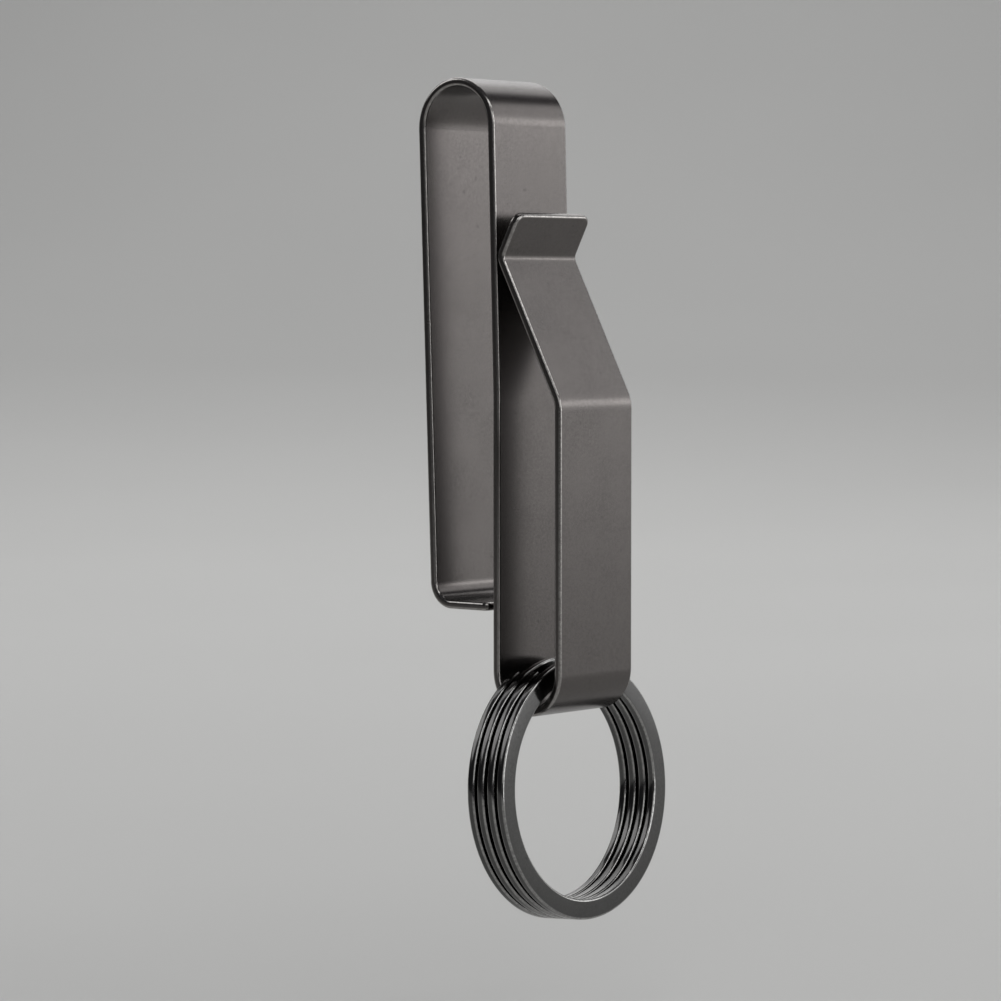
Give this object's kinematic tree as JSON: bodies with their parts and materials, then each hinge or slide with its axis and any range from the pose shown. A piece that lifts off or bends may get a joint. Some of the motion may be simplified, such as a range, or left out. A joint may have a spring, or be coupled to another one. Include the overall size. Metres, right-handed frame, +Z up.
{
  "type": "belt key clip",
  "caption": "Bent spring-steel strip that hooks over a belt, with a sprung front hook and flat-wire split rings for keys.",
  "frame": {"origin": "middle of the inside of the top bend, where the belt's upper edge bears", "axes": "+X across the strip, -Y out of the hook's front, +Z up"},
  "size_m": [0.031, 0.0218, 0.0997],
  "materials": {
    "satin_black_nickel": "satin black nickel plate on spring steel",
    "bright_black_nickel": "bright black nickel plate on steel wire"
  },
  "bodies": {
    "plate": {"belt_plate": "satin_black_nickel"},
    "leg": {"belt_leg": "satin_black_nickel"},
    "hook": {"key_hook": "satin_black_nickel"},
    "front_ring": {"split_ring_front": "bright_black_nickel"},
    "rear_ring": {"split_ring_rear": "bright_black_nickel"}
  },
  "joints": [
    {"name": "leg_flex", "type": "hinge", "parent": "plate", "child": "leg", "pos_m": [0, 0.00535, -0.00503], "axis": [1, 0, 0], "range_deg": [0, 8], "stiffness_Nm_per_rad": 6},
    {"name": "hook_flex", "type": "hinge", "parent": "plate", "child": "hook", "pos_m": [0, -0.01548, -0.06899], "axis": [1, 0, 0], "range_deg": [0, 7], "stiffness_Nm_per_rad": 7},
    {"name": "front_ring_swing", "type": "hinge", "parent": "plate", "child": "front_ring", "pos_m": [0, -0.01083, -0.06899], "axis": [-1, 0, 0], "range_deg": [-83, 141]},
    {"name": "rear_ring_swing", "type": "hinge", "parent": "plate", "child": "rear_ring", "pos_m": [0, -0.01083, -0.06899], "axis": [-1, 0, 0], "range_deg": [-83, 141]}
  ],
  "couplings": [
    {"joint": "rear_ring_swing", "follows": "front_ring_swing", "ratio": 1}
  ]
}
